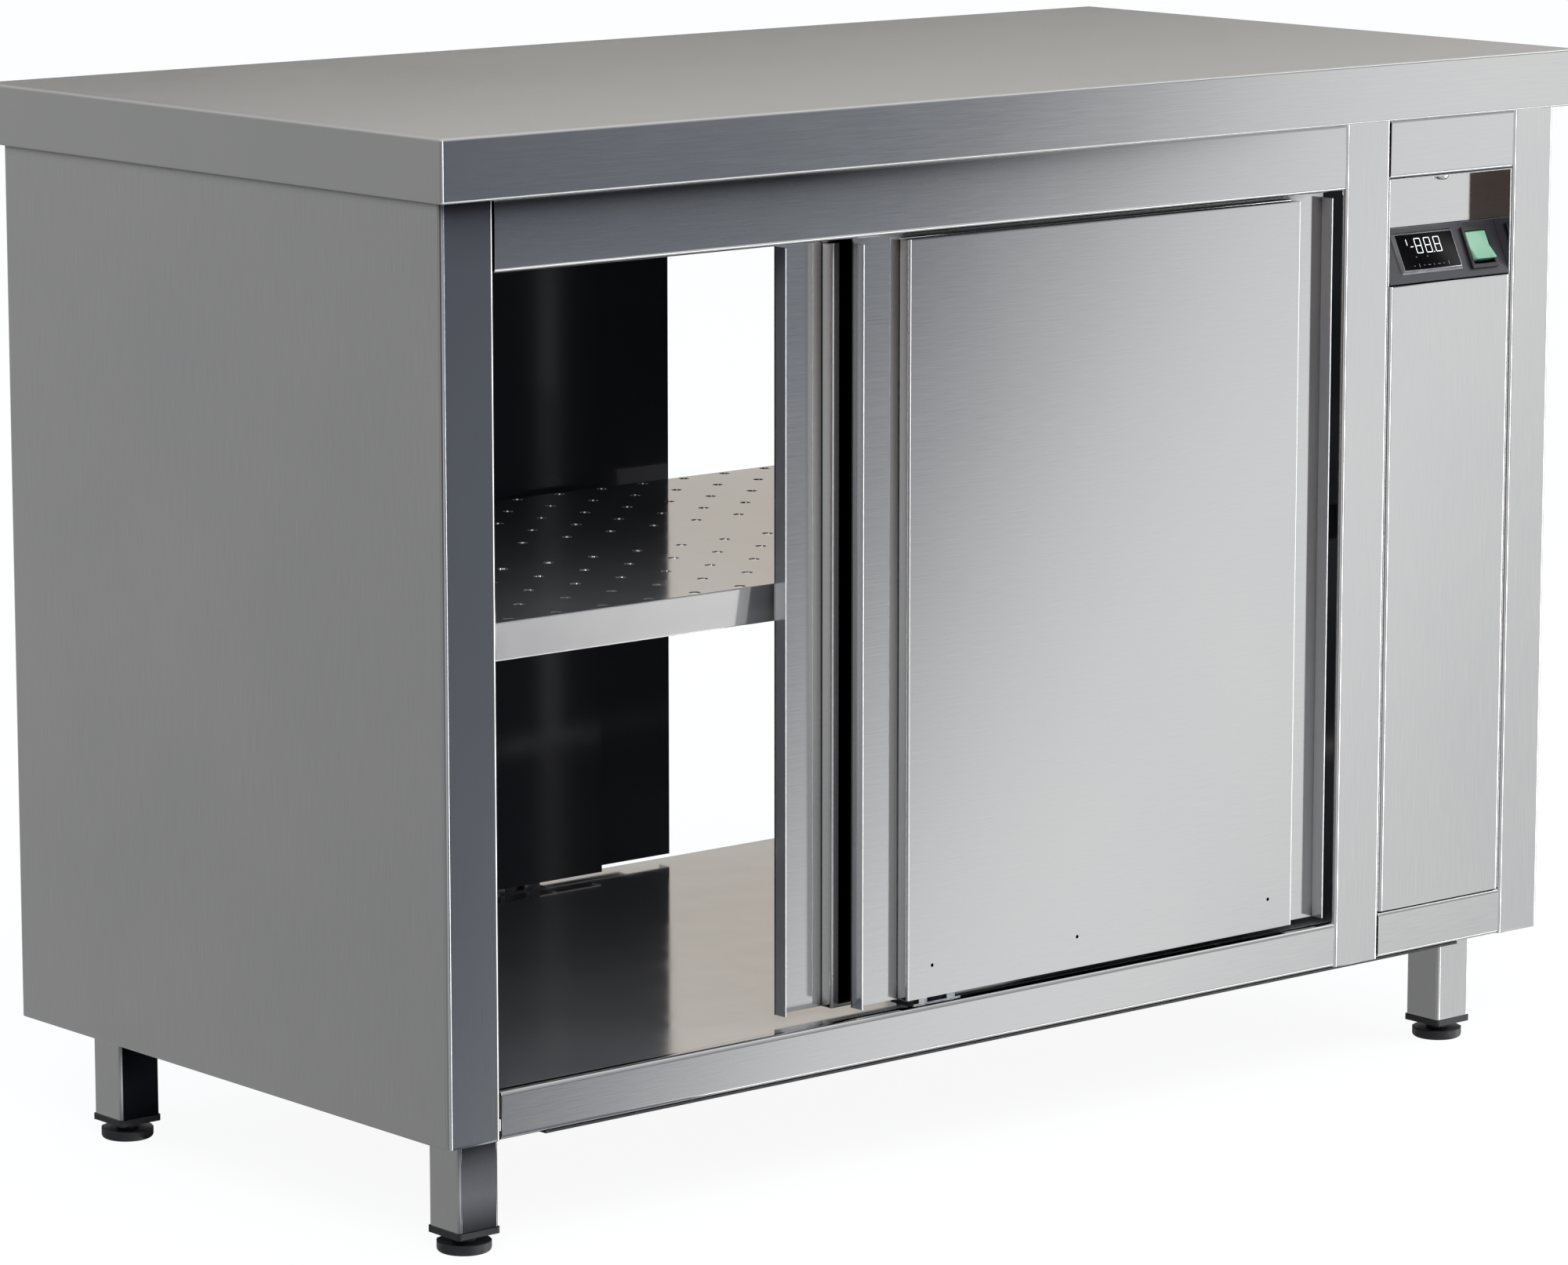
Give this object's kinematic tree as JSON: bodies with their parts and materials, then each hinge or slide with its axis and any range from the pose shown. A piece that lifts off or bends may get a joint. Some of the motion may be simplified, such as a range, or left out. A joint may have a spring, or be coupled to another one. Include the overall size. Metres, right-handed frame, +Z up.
{
  "type": "hot cupboard",
  "caption": "Pass-through stainless steel hot cupboard on legs, with a worktop, sliding doors front and rear, a perforated shelf, fan heating and a control bay.",
  "frame": {"origin": "on the floor, under the middle of the worktop", "axes": "+X to the right as seen from the control side, +Y from the front to the rear, +Z up"},
  "size_m": [1.2, 0.6, 0.85],
  "materials": {
    "stainless_brushed": "brushed",
    "stainless_bright": "bright rolled",
    "zinc_sheet": "zinc coated, dull",
    "track_aluminium": "extruded",
    "wool_board": "pressed mineral wool",
    "black_plastic": "moulded",
    "console_paint": "satin",
    "rocker_green": "translucent moulded",
    "roller_nylon": "moulded nylon",
    "heater_alloy": "oxidised",
    "motor_paint": "semi-gloss",
    "terminal_cream": "moulded"
  },
  "bodies": {
    "cabinet": {"worktop_skin": "stainless_brushed", "worktop_bearers": "zinc_sheet", "left_side_panel": "stainless_brushed", "right_side_panel": "stainless_brushed", "partition_casing": "stainless_brushed", "left_lining": "stainless_brushed", "ceiling_panel": "stainless_brushed", "floor_panel": "stainless_bright", "insulation": "wool_board", "top_rails": "stainless_brushed", "bottom_rails": "stainless_brushed", "base_pan": "zinc_sheet", "leg_plates": "zinc_sheet", "legs": "stainless_brushed", "leg_inserts": "black_plastic", "header_panel": "stainless_brushed", "control_recess": "stainless_brushed", "console_plate": "console_paint", "controller": "black_plastic", "switch_body": "black_plastic", "service_cover": "stainless_brushed", "kick_panel": "stainless_brushed", "rear_service_panel": "stainless_brushed", "cable_gland": "black_plastic", "header_screw": "stainless_brushed", "door_tracks": "track_aluminium", "floor_guides": "zinc_sheet", "shelf": "stainless_bright", "shelf_brackets": "stainless_brushed", "fan_guard": "stainless_brushed", "heating_ring": "heater_alloy", "fan_motor": "motor_paint", "temperature_probe": "stainless_brushed", "terminal_block": "terminal_cream"},
    "front_outer_door": {"front_outer_back": "stainless_brushed", "front_outer_fittings": "stainless_brushed", "front_outer_panel": "stainless_brushed"},
    "front_outer_roller_a": {"front_outer_roller_a": "roller_nylon"},
    "front_outer_roller_b": {"front_outer_roller_b": "roller_nylon"},
    "front_inner_door": {"front_inner_back": "stainless_brushed", "front_inner_fittings": "stainless_brushed", "front_inner_panel": "stainless_brushed"},
    "front_inner_roller_a": {"front_inner_roller_a": "roller_nylon"},
    "front_inner_roller_b": {"front_inner_roller_b": "roller_nylon"},
    "rear_outer_door": {"rear_outer_back": "stainless_brushed", "rear_outer_fittings": "stainless_brushed", "rear_outer_panel": "stainless_brushed"},
    "rear_outer_roller_a": {"rear_outer_roller_a": "roller_nylon"},
    "rear_outer_roller_b": {"rear_outer_roller_b": "roller_nylon"},
    "rear_inner_door": {"rear_inner_back": "stainless_brushed", "rear_inner_fittings": "stainless_brushed", "rear_inner_panel": "stainless_brushed"},
    "rear_inner_roller_a": {"rear_inner_roller_a": "roller_nylon"},
    "rear_inner_roller_b": {"rear_inner_roller_b": "roller_nylon"},
    "switch_rocker": {"switch_rocker": "rocker_green"},
    "fan_wheel": {"fan_wheel": "stainless_brushed"},
    "front_left_foot": {"front_left_foot": "black_plastic"},
    "front_right_foot": {"front_right_foot": "black_plastic"},
    "rear_left_foot": {"rear_left_foot": "black_plastic"},
    "rear_right_foot": {"rear_right_foot": "black_plastic"}
  },
  "joints": [
    {"name": "front_outer_slide", "type": "slide", "parent": "cabinet", "child": "front_outer_door", "axis": [1, 0, 0], "range_m": [-0.3585, 0.012]},
    {"name": "front_outer_roller_a_spin", "type": "hinge", "parent": "front_outer_door", "child": "front_outer_roller_a", "pos_m": [-0.11974, -0.2663, 0.7727], "axis": [0, 1, 0], "continuous": true},
    {"name": "front_outer_roller_b_spin", "type": "hinge", "parent": "front_outer_door", "child": "front_outer_roller_b", "pos_m": [0.26824, -0.2663, 0.7727], "axis": [0, 1, 0], "continuous": true},
    {"name": "front_inner_slide", "type": "slide", "parent": "cabinet", "child": "front_inner_door", "axis": [1, 0, 0], "range_m": [-0.29751, 0.07299]},
    {"name": "front_inner_roller_a_spin", "type": "hinge", "parent": "front_inner_door", "child": "front_inner_roller_a", "pos_m": [-0.18073, -0.2453, 0.7727], "axis": [0, 1, 0], "continuous": true},
    {"name": "front_inner_roller_b_spin", "type": "hinge", "parent": "front_inner_door", "child": "front_inner_roller_b", "pos_m": [0.20725, -0.2453, 0.7727], "axis": [0, 1, 0], "continuous": true},
    {"name": "rear_outer_slide", "type": "slide", "parent": "cabinet", "child": "rear_outer_door", "axis": [1, 0, 0], "range_m": [-0.107, 0.2635]},
    {"name": "rear_outer_roller_a_spin", "type": "hinge", "parent": "rear_outer_door", "child": "rear_outer_roller_a", "pos_m": [0.01674, 0.2663, 0.7727], "axis": [0, 1, 0], "continuous": true},
    {"name": "rear_outer_roller_b_spin", "type": "hinge", "parent": "rear_outer_door", "child": "rear_outer_roller_b", "pos_m": [-0.37124, 0.2663, 0.7727], "axis": [0, 1, 0], "continuous": true},
    {"name": "rear_inner_slide", "type": "slide", "parent": "cabinet", "child": "rear_inner_door", "axis": [1, 0, 0], "range_m": [-0.01449, 0.35601]},
    {"name": "rear_inner_roller_a_spin", "type": "hinge", "parent": "rear_inner_door", "child": "rear_inner_roller_a", "pos_m": [-0.07577, 0.2453, 0.7727], "axis": [0, 1, 0], "continuous": true},
    {"name": "rear_inner_roller_b_spin", "type": "hinge", "parent": "rear_inner_door", "child": "rear_inner_roller_b", "pos_m": [-0.46375, 0.2453, 0.7727], "axis": [0, 1, 0], "continuous": true},
    {"name": "switch_rocker_turn", "type": "hinge", "parent": "cabinet", "child": "switch_rocker", "pos_m": [0.51225, -0.27159, 0.68484], "axis": [1, 0, 0], "range_deg": [0, 20]},
    {"name": "fan_spin", "type": "hinge", "parent": "cabinet", "child": "fan_wheel", "pos_m": [0.34, 0, 0.285], "axis": [1, 0, 0], "continuous": true},
    {"name": "front_left_foot_level", "type": "slide", "parent": "cabinet", "child": "front_left_foot", "axis": [0, 0, -1], "range_m": [0, 0.02]},
    {"name": "front_right_foot_level", "type": "slide", "parent": "cabinet", "child": "front_right_foot", "axis": [0, 0, -1], "range_m": [0, 0.02]},
    {"name": "rear_left_foot_level", "type": "slide", "parent": "cabinet", "child": "rear_left_foot", "axis": [0, 0, -1], "range_m": [0, 0.02]},
    {"name": "rear_right_foot_level", "type": "slide", "parent": "cabinet", "child": "rear_right_foot", "axis": [0, 0, -1], "range_m": [0, 0.02]}
  ],
  "couplings": [
    {"joint": "front_outer_roller_a_spin", "follows": "front_outer_slide", "rad_per_m": 125},
    {"joint": "front_outer_roller_b_spin", "follows": "front_outer_slide", "rad_per_m": 125},
    {"joint": "front_inner_roller_a_spin", "follows": "front_inner_slide", "rad_per_m": 125},
    {"joint": "front_inner_roller_b_spin", "follows": "front_inner_slide", "rad_per_m": 125},
    {"joint": "rear_outer_roller_a_spin", "follows": "rear_outer_slide", "rad_per_m": 125},
    {"joint": "rear_outer_roller_b_spin", "follows": "rear_outer_slide", "rad_per_m": 125},
    {"joint": "rear_inner_roller_a_spin", "follows": "rear_inner_slide", "rad_per_m": 125},
    {"joint": "rear_inner_roller_b_spin", "follows": "rear_inner_slide", "rad_per_m": 125}
  ]
}
